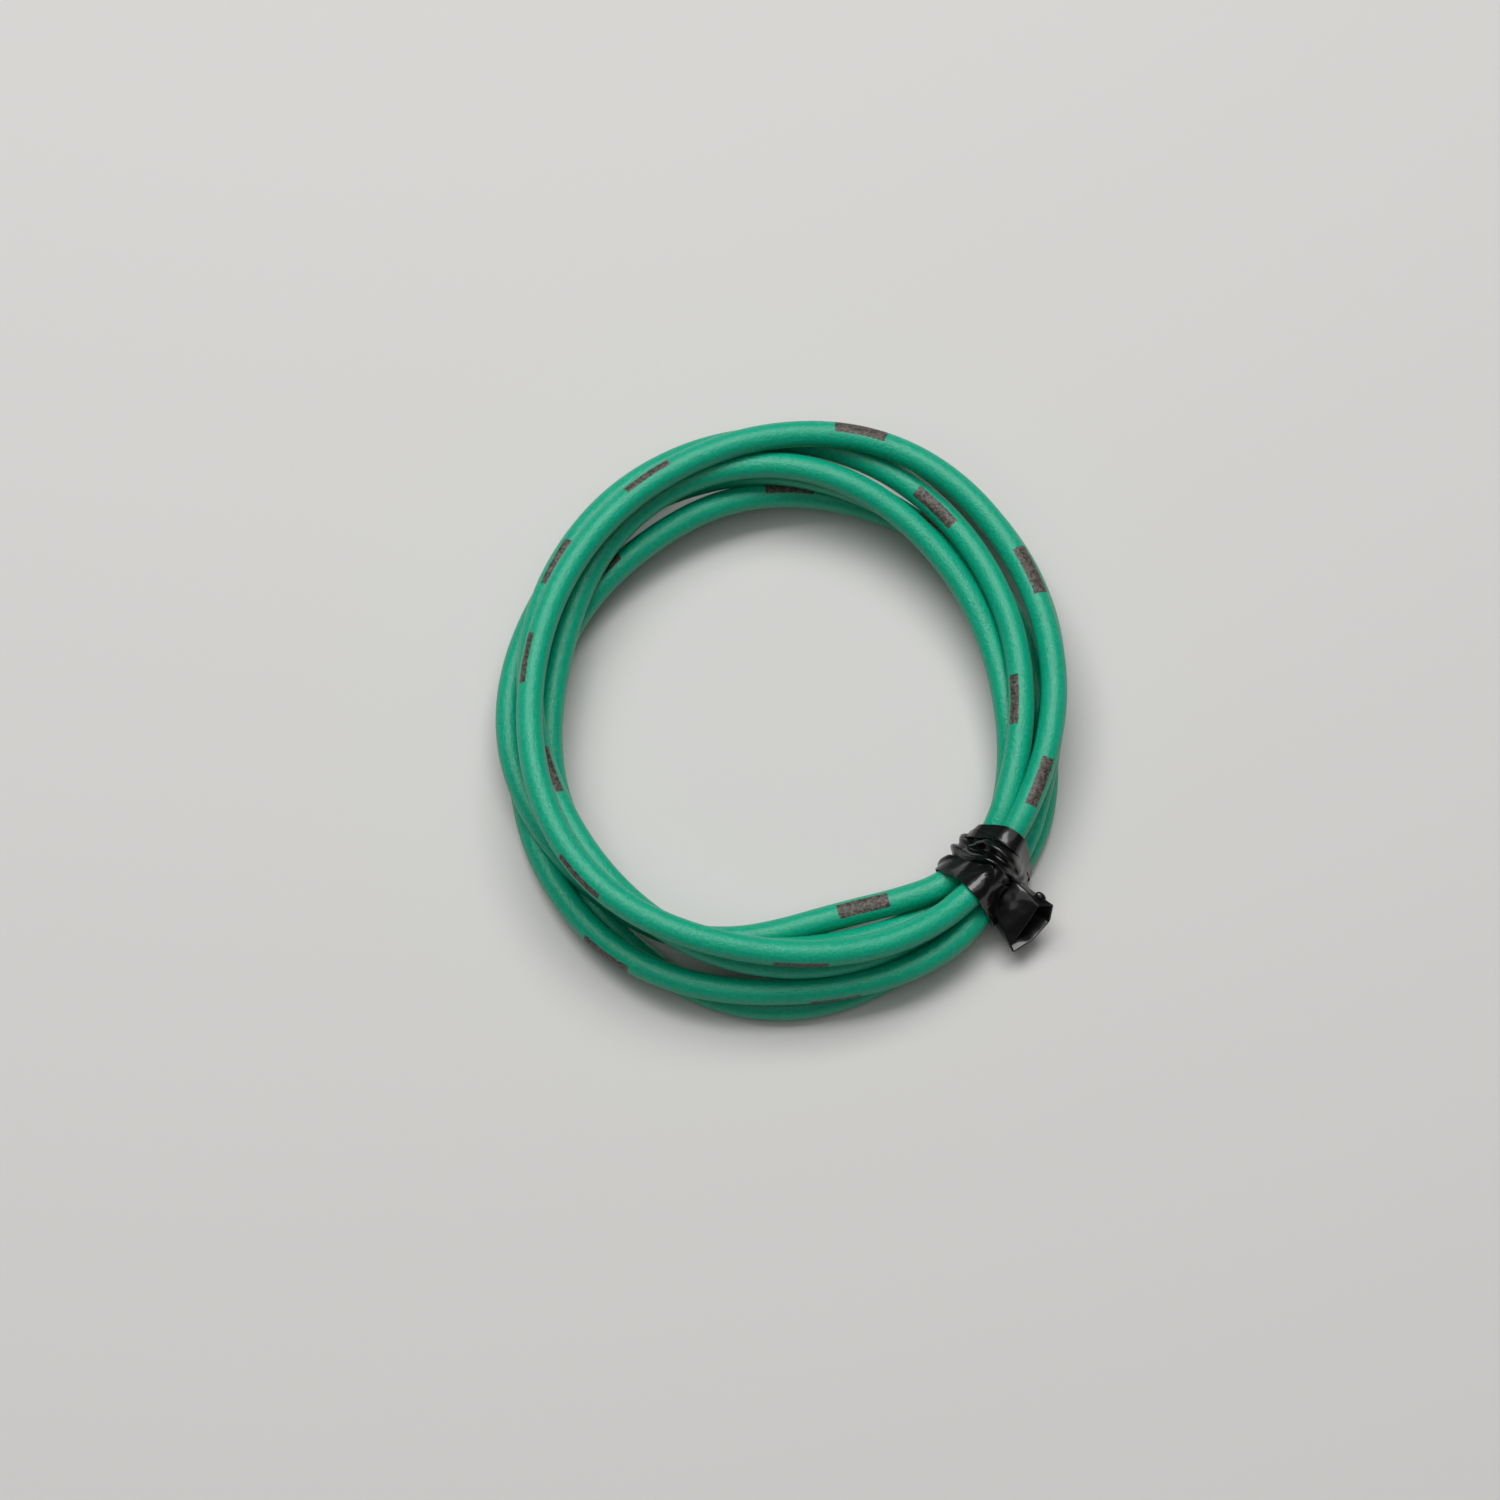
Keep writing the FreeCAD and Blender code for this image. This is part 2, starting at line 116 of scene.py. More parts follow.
def settled_route():
    """Lets the turns sink onto each other. At every angle the six wires are discs in one upright plane:
    discs nearer than a spacing push each other away along the line between them, and the wire's stiffness
    evens out neighbouring stops. The stops in the strip stay where it holds them. At the back the first
    turn springs up off the floor, by 3.2 exp(-((w - 147) / 36)^2) mm at w degrees from the strip."""
    spacing, floor = 2.8, 1.32
    start_rise, sinking = 1.9, 0.03
    push_share, aside_share = 0.3, 0.6
    drawn_back, last_drawn_back = 0.3, 0.06
    evening, last_evening = 0.2, 0.06
    steps, closing = 500, 600
    angle, wished = wished_route()
    held_radius, held_height = held_stops()
    held = ~np.isnan(held_radius)
    wound = np.arange(len(angle)) * 360 / STOPS
    raised = floor + np.where(wound < 360, 3.2 * np.exp(-((wound - 147) / 36) ** 2), 0)
    height = floor + start_rise * np.arange(len(angle)) / STOPS
    aside = np.zeros(len(angle))
    for step in range(steps + closing):
        left = max(0.0, 1 - step / steps)
        radii = (wished + aside)[:-1].reshape(TURNS, STOPS)
        heights = height[:-1].reshape(TURNS, STOPS)
        outward, upward = np.zeros_like(radii), np.zeros_like(radii)
        for low in range(TURNS):
            for high in range(low + 1, TURNS):
                across, rise = radii[high] - radii[low], heights[high] - heights[low]
                between = np.hypot(across, rise) + 1e-6
                push = push_share * np.maximum(0, spacing - between) / between
                outward[high] += aside_share * push * across
                outward[low] -= aside_share * push * across
                upward[high] += push * rise
                upward[low] -= push * rise
        aside[:-1] += outward.ravel()
        height[:-1] += upward.ravel()
        height -= sinking * left
        aside *= 1 - max(drawn_back * left, last_drawn_back)
        for amount in (aside, height):
            bend = amount[:-2] + amount[2:] - 2 * amount[1:-1]
            amount[1:-1] += (evening if left else last_evening) * bend
        aside[held] = 0
        height[held] = held_height[held]
        height = np.maximum(height, raised)
    radius = wished + aside
    return np.stack([radius * np.cos(angle), radius * np.sin(angle), height], 1) + CENTRING


def spline_points(corners):
    """Points of a quadratic spline through the route, which starts and ends at its first and last corner.
    Its corners stand out by 1 / cos(half a stop)^0.75, as the spline cuts each of them off."""
    standing_out = 0.75
    flat = corners - CENTRING
    flat[1:-1, :2] *= 1 / math.cos(math.pi / STOPS) ** standing_out
    corners = (flat + CENTRING) * MM
    curve = bpy.data.curves.new("wire_route", "CURVE")
    curve.dimensions = "3D"
    curve.resolution_u = 5
    spline = curve.splines.new("NURBS")
    spline.points.add(len(corners) - 1)
    for point, corner in zip(spline.points, corners):
        point.co = (*corner, 1)
    spline.order_u = 3
    spline.use_endpoint_u = True
    line = bpy.data.objects.new("wire_route", curve)
    bpy.context.collection.objects.link(line)
    bpy.context.view_layer.update()
    route = bpy.data.meshes.new_from_object(line)
    points = np.zeros(3 * len(route.vertices))
    route.vertices.foreach_get("co", points)
    bpy.data.meshes.remove(route)
    bpy.data.objects.remove(line)
    bpy.data.curves.remove(curve)
    return points.reshape(-1, 3)


def along_wire(points):
    """Length along the wire at each point, in metres."""
    return np.concatenate([[0], np.cumsum(np.linalg.norm(np.diff(points, axis=0), axis=1))])


def wire_frames(points):
    """The directions out from the coil and up, square to the wire, at each point of the route."""
    way = np.gradient(points, axis=0)
    way /= np.linalg.norm(way, axis=1)[:, None]
    out = points - CENTRING * MM
    out[:, 2] = 0
    out -= (out * way).sum(1)[:, None] * way
    out /= np.linalg.norm(out, axis=1)[:, None]
    up = np.cross(out, way)
    up *= np.sign(up[:, 2])[:, None]
    return out, up


def grid_mesh(name, places, uv=None, caps=False):
    """Mesh of a surface given as rows of points, with a face between each four neighbours and the last
    column joined to the first. uv gives the places on the print from the rows and columns of the faces'
    corners."""
    rows, columns = places.shape[:2]
    row, column = np.mgrid[0:rows - 1, 0:columns].reshape(2, -1)
    after = (column + 1) % columns
    faces = np.stack([row * columns + column, row * columns + after,
                      (row + 1) * columns + after, (row + 1) * columns + column], 1).tolist()
    if caps:
        faces.append(list(range(columns))[::-1])
        faces.append(list(range((rows - 1) * columns, rows * columns)))
    mesh = bpy.data.meshes.new(name)
    mesh.from_pydata(places.reshape(-1, 3).tolist(), [], faces)
    if uv:
        corner_rows = np.stack([row, row, row + 1, row + 1], 1).ravel()
        corner_columns = np.stack([column, column + 1, column + 1, column], 1).ravel()
        values = np.zeros((len(mesh.loops), 2))
        values[:len(corner_rows)] = np.stack(uv(corner_rows, corner_columns), 1)
        mesh.uv_layers.new(name="print").data.foreach_set("uv", values.ravel())
    mesh.polygons.foreach_set("use_smooth", [True] * len(mesh.polygons))
    mesh.update()
    obj = bpy.data.objects.new(name, mesh)
    bpy.context.collection.objects.link(obj)
    return obj


# The print: short dashes at a steady pitch, which slips a little, on a line that turns round the wire.
# Sizes in mm. Each visible mark: its number, its place in degrees wound on from the free end, its place
# round the wire in degrees outwards from the top, and its width in degrees. All other marks face down or
# lie between the wires.
PITCH = 23.0
FIRST_MARK = 11.25
MARK_LENGTH = 5.3
FACING_DOWN = 180.0
HIDDEN_WIDTH = 50.0
VISIBLE_MARKS = [
    (2, 128.6, 18, 66), (3, 181.8, 32, 60), (13, 636.0, 81, 66), (14, 680.0, 108, 66), (17, 810.0, 42, 50),
    (22, 1050.6, -4, 70), (30, 1478.6, -37, 44), (31, 1532.4, -20, 58), (33, 1628.4, 17, 36),
    (34, 1680.8, -26, 38), (37, 1819.3, 20, 58), (38, 1867.2, 30, 80), (39, 1914.0, 30, 76),
    (40, 1961.4, 24, 36), (41, 2014.6, 39, 32), (42, 2065.8, 59, 32), (43, 2113.4, 95, 60),
]

route = spline_points(settled_route())
length = along_wire(route)
out, up = wire_frames(route)

# Every point of the route gets the number of its mark, with the part of a step to it, and that mark's line
# and width. The numbers start at -1, so mark k is entry k + 1.
numbers = np.arange(-1, 46)
shown, wound, turned, wide = np.array(VISIBLE_MARKS).T
degrees = np.degrees(np.unwrap(np.arctan2(route[:, 1] - CENTRING[1] * MM, route[:, 0] - CENTRING[0] * MM)))
reached = np.interp(wound, degrees - degrees[0], length / MM)
ahead = reached - FIRST_MARK - PITCH * shown
marks = np.interp(length / MM, FIRST_MARK + PITCH * numbers + np.interp(numbers, shown, ahead), numbers)
line, widths = np.full(len(numbers), FACING_DOWN), np.full(len(numbers), HIDDEN_WIDTH)
line[shown.astype(int) + 1], widths[shown.astype(int) + 1] = turned, wide
nearest = np.round(marks).astype(int) + 1
line, widths = line[nearest], widths[nearest]

# The wall runs from the bottom of the short bore at one end, over the outside, to the bottom of the other.
SIDES = 32
END_POINTS = 7
around = np.linspace(0, 2 * np.pi, SIDES, endpoint=False)
last = len(route) - 1
stations = np.array([END_POINTS - 1, 0, *range(last + 1), last, last + 1 - END_POINTS])
radii = np.full(len(stations), DIAMETER / 2)
radii[[0, 1, -2, -1]] = BORE / 2


def wire_rings():
    """Rings of points round the wire: centre + radius * (cos(a) * up + sin(a) * outwards)."""
    turned = np.cos(around)[:, None] * up[stations, None] + np.sin(around)[:, None] * out[stations, None]
    return route[stations, None] + (radii * MM)[:, None, None] * turned


def on_print(row, column):
    """Place on the print: marks along the wire, and turns round it from the mark's middle line plus the
    mark's width in degrees. Whole numbers don't move a place round the wire, so one value carries both."""
    station = stations[row]
    return marks[station], column / SIDES - line[station] / 360 + widths[station]


rings = wire_rings()
rings[..., 2] = np.maximum(rings[..., 2], 0.0)
wire = grid_mesh("wire", rings, on_print, caps=True)


def linear(hex_colour):
    """Linear colour from an sRGB hex colour."""
    parts = [int(hex_colour[place:place + 2], 16) / 255 for place in (0, 2, 4)]
    return tuple(c / 12.92 if c <= 0.04045 else ((c + 0.055) / 1.055) ** 2.4 for c in parts) + (1.0,)


def set_inputs(material, node, inputs):
    """Gives each named input of a node its value, or joins a socket to it."""
    for name, value in inputs.items():
        if isinstance(value, bpy.types.NodeSocket):
            material.node_tree.links.new(value, node.inputs[name])
        else:
            node.inputs[name].default_value = value


def add_node(material, kind, inputs=(), **settings):
    """Adds a shader node with its settings and its inputs, and returns its outputs."""
    node = material.node_tree.nodes.new(kind)
    for name, value in settings.items():
        setattr(node, name, value)
    set_inputs(material, node, dict(inputs))
    return node.outputs


def new_material(name):
    """Empty procedural material and its surface shader."""
    material = bpy.data.materials.new(name)
    material.use_nodes = True
    return material, material.node_tree.nodes["Principled BSDF"]


# Satin extruded PVC: an even green with fine grain and a broad soft sheen, and matt black ink on top.
# Noise is given in cells to a millimetre. The grain is drawn a third of a millimetre wide, coarser than
# the real one, so that it shows. Lighter flecks where the grain is high are painted sparkle of the sheen.
GRAIN = 3.2
CLOUD = 0.3
RAGGED = 9.0
RAGGED_SHIFT = 0.008
HALF_STEP = 0.5

pvc, surface = new_material("green satin PVC")
spot = add_node(pvc, "ShaderNodeTexCoord")["Object"]
printed = add_node(pvc, "ShaderNodeSeparateXYZ", {0: add_node(pvc, "ShaderNodeUVMap", uv_map="print")[0]})
ragged = add_node(pvc, "ShaderNodeTexNoise", {"Vector": spot, "Scale": RAGGED / MM, "Detail": 2.0})[0]
ragged = add_node(pvc, "ShaderNodeMath", {0: ragged, 1: 2 * RAGGED_SHIFT, 2: -RAGGED_SHIFT},
                  operation="MULTIPLY_ADD")[0]
from_middle = []
for reading in printed[:2]:
    shifted = add_node(pvc, "ShaderNodeMath", {0: reading, 1: ragged}, operation="ADD")[0]
    wrapped = add_node(pvc, "ShaderNodeMath", {0: shifted, 1: HALF_STEP, 2: -HALF_STEP},
                       operation="WRAP")[0]
    from_middle.append(add_node(pvc, "ShaderNodeMath", {0: wrapped}, operation="ABSOLUTE")[0])
half_width = add_node(pvc, "ShaderNodeMath", {0: printed[1], 1: 2 * 360.0}, operation="DIVIDE")[0]
in_length = add_node(pvc, "ShaderNodeMath", {0: from_middle[0], 1: MARK_LENGTH / PITCH / 2},
                     operation="LESS_THAN")[0]
in_width = add_node(pvc, "ShaderNodeMath", {0: from_middle[1], 1: half_width}, operation="LESS_THAN")[0]
ink = add_node(pvc, "ShaderNodeMath", {0: in_length, 1: in_width}, operation="MULTIPLY")[0]
grain = add_node(pvc, "ShaderNodeTexNoise", {"Vector": spot, "Scale": GRAIN / MM, "Detail": 3.0,
                                             "Roughness": 0.7})[0]
cloud = add_node(pvc, "ShaderNodeTexNoise", {"Vector": spot, "Scale": CLOUD / MM, "Detail": 3.0})[0]
green = add_node(pvc, "ShaderNodeMix", {0: cloud, 6: linear("009070"), 7: linear("009B78")},
                 data_type="RGBA")[2]
# Lighter flecks on the real grain: painted sparkle of the sheen, laid on the green and on the ink.
painted_sparkle = add_node(pvc, "ShaderNodeMapRange", {0: grain, 1: 0.42, 2: 0.66, 3: 0.0, 4: 1.0})[0]
painted_sparkle_on_green = add_node(pvc, "ShaderNodeMath", {0: painted_sparkle, 1: 0.34}, operation="MULTIPLY")[0]
painted_sparkle_on_ink = add_node(pvc, "ShaderNodeMath", {0: painted_sparkle, 1: 0.5}, operation="MULTIPLY")[0]
green = add_node(pvc, "ShaderNodeMix", {0: painted_sparkle_on_green, 6: green, 7: linear("14B890")}, data_type="RGBA")[2]
# The ink: a dark brown-black, with light grey flecks that are painted sparkle of the sheen.
ink_with_painted_sparkle = add_node(pvc, "ShaderNodeMix", {0: painted_sparkle_on_ink, 6: linear("2E2926"), 7: linear("8C8379")},
                 data_type="RGBA")[2]
set_inputs(pvc, surface, {
    "Base Color": add_node(pvc, "ShaderNodeMix", {0: ink, 6: green, 7: ink_with_painted_sparkle}, data_type="RGBA")[2],
    "Roughness": add_node(pvc, "ShaderNodeMath", {0: ink, 1: 0.12, 2: 0.3}, operation="MULTIPLY_ADD")[0],
    "Normal": add_node(pvc, "ShaderNodeBump", {"Height": grain, "Strength": 0.9, "Distance": 0.1 * MM})[0],
    "Specular IOR Level": 0.36,
})
wire.data.materials.append(pvc)
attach(wire, "root")
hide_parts("wire_insulation")


# Copper core: sixteen bare strands that end flush with the insulation, inside the strip at both ends.
# Drawn from copper, laid up in rings, and then covered by extrusion.

STRAND = 0.3
STRAND_STEP = 0.32
STRAND_RINGS = (1, 5, 10)
STRAND_SIDES = 6


def strand_ends():
    """Six-sided strands along the last stretch at both ends, one in the middle and rings of five and ten.
    Points are middle + distance * (cos(t) up + sin(t) out) + half a strand * (cos(s) up + sin(s) out)."""
    ring = np.repeat(np.arange(len(STRAND_RINGS)), STRAND_RINGS)
    turned = np.concatenate([2 * np.pi * np.arange(count) / count for count in STRAND_RINGS])
    side = np.arange(STRAND_SIDES) * 2 * np.pi / STRAND_SIDES
    upward = (ring * STRAND_STEP * np.cos(turned))[:, None] + STRAND / 2 * np.cos(side)
    outward = (ring * STRAND_STEP * np.sin(turned))[:, None] + STRAND / 2 * np.sin(side)
    ends = np.stack([np.arange(END_POINTS), np.arange(len(route) - END_POINTS, len(route))])
    centre, upwards, outwards = (values[ends][:, None, :, None] for values in (route, up, out))
    points = centre + MM * (upward[:, None, :, None] * upwards + outward[:, None, :, None] * outwards)
    step, face = np.mgrid[0:END_POINTS - 1, 0:STRAND_SIDES].reshape(2, -1)
    here, after = STRAND_SIDES * step + face, STRAND_SIDES * step + (face + 1) % STRAND_SIDES
    wall = np.stack([here, after, after + STRAND_SIDES, here + STRAND_SIDES], 1)
    cap = np.arange(STRAND_SIDES)
    strand_points = STRAND_SIDES * END_POINTS
    faces = []
    for first in range(0, 2 * sum(STRAND_RINGS) * strand_points, strand_points):
        faces += (wall + first).tolist()
        faces += [(cap[::-1] + first).tolist(), (cap + first + strand_points - STRAND_SIDES).tolist()]
    mesh = bpy.data.meshes.new("copper_core")
    mesh.from_pydata(points.reshape(-1, 3).tolist(), [], faces)
    obj = bpy.data.objects.new("copper_core", mesh)
    bpy.context.collection.objects.link(obj)
    return obj


core = strand_ends()

# Bright drawn copper: a warm metal that the die leaves smooth, with a soft gleam.
copper, surface = new_material("drawn copper")
set_inputs(copper, surface, {"Base Color": linear("C4764A"), "Metallic": 1.0, "Roughness": 0.3})
core.data.materials.append(copper)
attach(core, "root")
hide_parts("copper_strands")


# Vinyl strip, wrapped round the bundle by hand, pulled tight and rolled up on itself. A thin black film.
# Its frame: n out from the coil, a along the wires, z up from the floor, in mm, from the bundle's middle.

OUTWARDS = np.array([math.cos(TIE_ANGLE), math.sin(TIE_ANGLE), 0])
ALONG = np.array([-math.sin(TIE_ANGLE), math.cos(TIE_ANGLE), 0])
UPWARDS = np.array([0, 0, 1.0])
BUNDLE = TIE_RADIUS * OUTWARDS + CENTRING
ROUND = 22
LOWEST_FILM = 0.06


def strip_place(n, a, z):
    """Points in metres from the strip's own frame."""
    n, a, z = np.broadcast_arrays(n, a, z)
    return (BUNDLE + n[..., None] * OUTWARDS + a[..., None] * ALONG + z[..., None] * UPWARDS) * MM


def wires_through(along):
    """Middles (n, z) of the wires in the upright section of the bundle at a = along. The far side of the
    coil is left out."""
    far_side = -10
    local = np.stack([(route / MM - BUNDLE) @ axis for axis in (OUTWARDS, ALONG, UPWARDS)], 1)
    past = local[:, 1] > along
    cut = np.nonzero((past[1:] != past[:-1]) & (local[:-1, 0] > far_side))[0]
    share = (along - local[cut, 1]) / (local[cut + 1, 1] - local[cut, 1])
    return (local[cut] + share[:, None] * (local[cut + 1] - local[cut]))[:, [0, 2]]


def tight_line(along, count=240):
    """Line drawn tight round the wires of one section, even along its length: n, z and the outward normal.
    In the direction t it touches the wire with the largest n cos t + z sin t. It starts outwards and goes
    over the top."""
    middles = wires_through(along)
    turn = np.linspace(0, 2 * np.pi, 721)
    normal = np.stack([np.cos(turn), np.sin(turn)], 1)
    line = middles[(normal @ middles.T).argmax(1)] + DIAMETER / 2 * normal
    reach = np.concatenate([[0], np.cumsum(np.linalg.norm(np.diff(line, axis=0), axis=1))])
    at = np.linspace(0, reach[-1], count)
    return np.stack([np.interp(at, reach, values) for values in (*line.T, *normal.T)], 1)


# Lines round the sections of the bundle, evened out a little from one to the next.
SECTIONS = np.linspace(-4.6, 4.4, 31)
LINES = np.array([tight_line(along) for along in SECTIONS])
for _ in range(3):
    LINES[1:-1] = (LINES[:-2] + 2 * LINES[1:-1] + LINES[2:]) / 4


def bundle_outline(share, along):
    """Point n, z and normal on the tight line round the wires, by share of the way round and place along
    them, in proportion between the four nearest known points."""
    share, along = np.broadcast_arrays(np.mod(share, 1.0) * (LINES.shape[1] - 1), along)
    row = np.clip((along - SECTIONS[0]) / (SECTIONS[1] - SECTIONS[0]), 0, len(SECTIONS) - 1.001)
    low, left = row.astype(int), share.astype(int)
    up, right = (row - low)[..., None], (share - left)[..., None]
    values = (LINES[low, left] * (1 - up) + LINES[low + 1, left] * up) * (1 - right)
    values += (LINES[low, left + 1] * (1 - up) + LINES[low + 1, left + 1] * up) * right
    return np.moveaxis(values, -1, 0)


def waves(places, size, seed, sharp=0.0):
    """Noise from -1 to 1 at points in mm: three octaves, the first of them size mm across. sharp from 0 to
    1 turns its smooth swells into creases, as 1 - 4 |noise|."""
    total = np.zeros(places.shape[:-1])
    for octave, weight in enumerate((0.6, 0.28, 0.12)):
        shift = Vector((seed, 5.3, octave))
        scaled = places.reshape(-1, 3) * 2 ** octave / size
        values = np.array([noise.noise(Vector(point) + shift) for point in scaled]).reshape(total.shape)
        total += weight * ((1 - sharp) * 1.6 * values + sharp * (1 - 4 * abs(values)))
    return total


def folds(u, a, crest):
    """Height of a rounded fold that runs along a crest: h exp(-(distance / w)^2). The crest is a list of
    (u, a, h, w), with u as a share of the way round the bundle and the rest in mm."""
    steps_a_point = 24
    crest = np.array(crest, float)
    at = np.arange(len(crest))
    fine = np.linspace(0, len(crest) - 1, steps_a_point * len(crest))
    points = np.stack([np.interp(fine, at, values) for values in crest.T], 1)
    away = np.full(u.shape, np.inf)
    height, width = np.zeros(u.shape), np.ones(u.shape)
    for place, along, tall, wide in points:
        distance = np.hypot(ROUND * (np.mod(u - place + 0.5, 1) - 0.5), a - along)
        nearer = distance < away
        away[nearer], height[nearer], width[nearer] = distance[nearer], tall, wide
    return height * np.exp(-(away / width) ** 2)


def add_thickness(obj, thickness):
    """Gives the film its thickness in mm, half of it on each side."""
    thick = obj.modifiers.new("thickness", "SOLIDIFY")
    thick.thickness = thickness * MM
    thick.offset = 0


def wrap(name, start, end, lift, crumple, seed, round_steps=260, cross_steps=40, crests=(), lean=0.0):
    """Sheet once round the bundle: from a = start(u) to a = end(u), raised off it by lift(u, a) and by the
    folds on it, and crumpled. u is the share round. Over the top, up to the share 0.52, the folds lean
    over towards the front."""
    crease_size, flattened = 2.6, 0.7
    top_end, fading = 0.52, 0.1
    u = np.linspace(0, 1, round_steps, endpoint=False)[:, None]
    v = np.linspace(0, 1, cross_steps)[None, :]
    a = start(u) * (1 - v) + end(u) * v
    u = u + 0 * v
    n, z, normal_n, normal_z = bundle_outline(u, a)
    raised = sum([folds(u, a, crest) for crest in crests], np.zeros(u.shape))
    sample = np.stack([n * flattened, a, z * flattened], -1)
    rise = lift(u, a) + raised + crumple * waves(sample, crease_size, seed, sharp=0.3)
    forward = lean * raised * np.clip((top_end - u) / fading, 0, 1)
    places = strip_place(n + normal_n * rise, a - forward, np.maximum(z + normal_z * rise, LOWEST_FILM))
    obj = grid_mesh(name, places.transpose(1, 0, 2))
    add_thickness(obj, 0.12)
    return obj


def bump_at(u, centre, width):
    """Smooth bump of height 1 at a share of the way round: exp(-(distance / width)^2)."""
    away = np.mod(u - centre + 0.5, 1.0) - 0.5
    return np.exp(-(away / width) ** 2)


def edge(*points):
    """Edge of the sheet as a = f(u): straight between the given points (u, a), and closed all round."""
    places, values = zip(*sorted(points))
    return lambda u: np.interp(u, places, values, period=1)


strip_pieces = []

# The first turn, tight on the wires, with a small flap that stands off at the outer front.
strip_pieces.append(wrap(
    "tight_wrap",
    edge((0.0, -4.3), (0.06, -4.2), (0.14, -4.0), (0.23, -3.9), (0.37, -3.4), (0.57, -3.0), (0.8, -3.0),
         (0.92, -3.6)),
    edge((0.0, 2.9), (0.2, 3.4), (0.34, 3.1), (0.5, 2.2), (0.6, 1.8), (0.8, 2.6)),
    lambda u, a: 0.12 + 0.5 * bump_at(u, 0.98, 0.06) * np.clip((-2.6 - a) / 1.4, 0, 1), 0.04, 1.0))

# The edge of the last turn, which shows as a plain band behind the folds.
strip_pieces.append(wrap(
    "collar_wrap",
    edge((0.0, 2.6), (0.095, 2.5), (0.175, 2.3), (0.275, 2.0), (0.32, 1.8), (0.42, 1.5), (0.475, 1.2),
         (0.6, 1.0), (0.8, 1.8)),
    edge((0.0, 3.2), (0.085, 3.3), (0.155, 3.5), (0.215, 3.7), (0.295, 3.6), (0.34, 3.5), (0.38, 3.3),
         (0.44, 3.0), (0.5, 2.6), (0.6, 2.0), (0.8, 2.8)),
    lambda u, a: 0.3 + 0.35 * np.clip((3.3 - a) / 1.4, 0, 1) ** 2 + 0 * u, 0.05, 7.0))

# The strip pulled together over the top: two rolled folds that meet at the outer side, an opening between
# them, and blunt tips that stand out inwards.
upper_fold = [(0.62, 1.6, 0.3, 0.6), (0.59, 1.1, 0.95, 0.6), (0.55, 0.5, 0.75, 0.5), (0.49, 0.15, 0.5, 0.4),
              (0.455, 0.55, 0.6, 0.36), (0.43, 1.0, 0.75, 0.38), (0.395, 1.3, 0.85, 0.42),
              (0.355, 1.2, 0.85, 0.45), (0.315, 1.25, 0.85, 0.55), (0.24, 1.5, 0.95, 0.75),
              (0.15, 1.6, 0.9, 0.85), (0.07, 1.6, 0.7, 0.8), (0.0, 1.6, 0.4, 0.6)]
lower_roll = [(0.64, 0.0, 0.3, 0.5), (0.60, -0.3, 1.0, 0.55), (0.56, -0.55, 0.85, 0.5),
              (0.50, -0.65, 0.8, 0.5), (0.44, -0.55, 0.85, 0.5), (0.38, -0.4, 0.9, 0.52),
              (0.33, -0.15, 0.9, 0.52), (0.29, 0.2, 0.85, 0.5), (0.24, 0.5, 0.7, 0.5),
              (0.17, 0.65, 0.5, 0.5), (0.1, 0.7, 0.35, 0.4)]
strip_pieces.append(wrap(
    "gathered_wrap",
    lambda u: -1.9 + 0 * u,
    edge((0.0, 2.7), (0.2, 2.4), (0.35, 2.2), (0.5, 1.7), (0.6, 1.7), (0.8, 2.2)),
    lambda u, a: 0.2 + 0.08 * np.sin(26 * np.pi * u + 2 * a) * bump_at(u, 0.1, 0.12),
    0.08, 2.0, round_steps=300, cross_steps=80, crests=(upper_fold, lower_roll), lean=0.4))

# The front of the strip, smooth over the wires, with its free edge at the folds drawn up to one tip.
free_edge = edge((0.0, -0.4), (0.1, -0.2), (0.2, -1.0), (0.255, -1.5), (0.29, -1.1), (0.308, -0.75),
                 (0.33, -1.1), (0.405, -1.35), (0.5, -1.1), (0.565, -1.5), (0.65, -1.3), (0.8, -1.0))
strip_pieces.append(wrap(
    "front_wrap",
    edge((0.0, -3.3), (0.05, -3.8), (0.14, -4.3), (0.195, -4.2), (0.235, -4.1), (0.305, -3.7), (0.37, -3.6),
         (0.415, -3.7), (0.57, -3.2), (0.7, -3.0), (0.85, -3.2)),
    free_edge,
    lambda u, a: (0.34
                  + 0.3 * np.clip((a - free_edge(u)) / 1.4 + 1, 0, 1) ** 2 * (0.4 + bump_at(u, 0.31, 0.03))
                  + 0.75 * bump_at(u, 0.57, 0.03) * np.exp(-((a + 2.3) / 0.8) ** 2)),
    0.08, 3.0, cross_steps=60,
    crests=([(0.30, -0.9, 0.3, 0.3), (0.28, -1.9, 0.2, 0.4), (0.22, -2.8, 0.1, 0.5),
             (0.15, -3.6, 0.05, 0.5)],
            [(0.40, -1.5, 0.15, 0.4), (0.36, -2.4, 0.15, 0.7), (0.33, -3.4, 0.05, 0.7)])))


